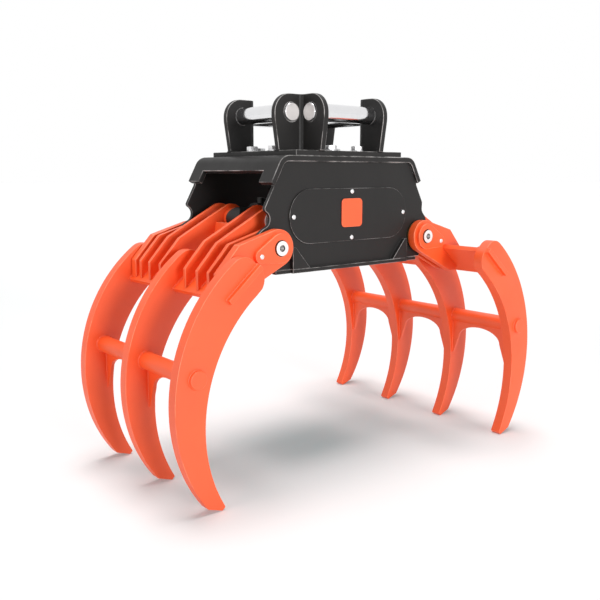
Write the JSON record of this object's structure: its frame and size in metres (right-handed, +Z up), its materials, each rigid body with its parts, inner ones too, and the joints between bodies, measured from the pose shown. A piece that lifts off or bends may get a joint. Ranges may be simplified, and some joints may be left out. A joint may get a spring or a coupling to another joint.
{
  "type": "excavator log grab",
  "caption": "Hydraulic grab for an excavator: a boxed housing under a pinned headstock, with two curved tine jaws that interleave as one cylinder closes them.",
  "frame": {"origin": "on the floor under the middle of the housing, level with the tine tips of the open jaws", "axes": "+X towards the jaw with more tines, +Y along the jaw pivots towards the rear side plate, +Z up"},
  "size_m": [1.2898, 0.824, 1.077],
  "materials": {
    "orange_paint": "satin orange paint",
    "black_paint": "satin black paint",
    "chrome": "polished",
    "pin_steel": "ground",
    "zinc": "bright zinc plate",
    "bronze": "turned"
  },
  "bodies": {
    "frame": {"front_side_plate": "black_paint", "rear_side_plate": "black_paint", "top_cover": "black_paint", "bottom_plate": "black_paint", "stop_gussets": "black_paint", "front_access_cover": "black_paint", "rear_access_cover": "black_paint", "access_screws": "zinc", "badge_plate": "orange_paint", "pivot_bushes": "bronze", "headstock_base": "black_paint", "headstock_bolts": "zinc", "lug_front_left": "black_paint", "lug_front_right": "black_paint", "lug_rear_left": "black_paint", "lug_rear_right": "black_paint", "hitch_pin_left": "chrome", "hitch_pin_right": "chrome", "hitch_pin_front": "chrome", "hitch_pin_rear": "chrome"},
    "left_jaw": {"left_tine_front": "orange_paint", "left_tine_middle": "orange_paint", "left_tine_rear": "orange_paint", "left_outer_arm_front": "orange_paint", "left_outer_arm_rear": "orange_paint", "left_inner_arms": "orange_paint", "left_outer_levers": "orange_paint", "left_inner_levers": "orange_paint", "left_cross_plate": "orange_paint", "left_tie_bar": "orange_paint", "left_webs": "orange_paint", "left_lever_web": "orange_paint", "left_pivot_pins": "pin_steel", "left_keepers": "orange_paint", "left_keeper_bolts": "zinc", "left_lever_pin": "pin_steel"},
    "right_jaw": {"right_tine_front": "orange_paint", "right_tine_mid_front": "orange_paint", "right_tine_mid_rear": "orange_paint", "right_tine_rear": "orange_paint", "right_outer_arm_front": "orange_paint", "right_outer_arm_rear": "orange_paint", "right_inner_arms": "orange_paint", "right_outer_levers": "orange_paint", "right_inner_levers": "orange_paint", "right_cross_plate": "orange_paint", "right_tie_bar": "orange_paint", "right_webs": "orange_paint", "right_lever_web": "orange_paint", "right_pivot_pins": "pin_steel", "right_keepers": "orange_paint", "right_keeper_bolts": "zinc", "right_lever_pin": "pin_steel"},
    "barrel_unit": {"barrel": "black_paint", "base_eye": "black_paint", "gland": "black_paint", "port_bosses": "black_paint"},
    "rod_unit": {"piston_rod": "chrome", "piston": "pin_steel", "rod_eye": "black_paint"}
  },
  "joints": [
    {"name": "left_jaw_pivot", "type": "hinge", "parent": "frame", "child": "left_jaw", "pos_m": [-0.294, 0, 0.662], "axis": [0, -1, 0], "range_deg": [-8, 50]},
    {"name": "right_jaw_pivot", "type": "hinge", "parent": "frame", "child": "right_jaw", "pos_m": [0.294, 0, 0.662], "axis": [0, 1, 0], "range_deg": [-8, 50]},
    {"name": "cylinder_base_pivot", "type": "hinge", "parent": "left_jaw", "child": "barrel_unit", "pos_m": [-0.24, 0, 0.727], "axis": [0, 1, 0], "range_deg": [-8, 50]},
    {"name": "cylinder_rod_pivot", "type": "hinge", "parent": "right_jaw", "child": "rod_unit", "pos_m": [0.24, 0, 0.727], "axis": [0, -1, 0], "range_deg": [-8, 50]}
  ],
  "couplings": [
    {"joint": "right_jaw_pivot", "follows": "left_jaw_pivot", "ratio": 1},
    {"joint": "cylinder_base_pivot", "follows": "left_jaw_pivot", "ratio": 1},
    {"joint": "cylinder_rod_pivot", "follows": "left_jaw_pivot", "ratio": 1}
  ]
}
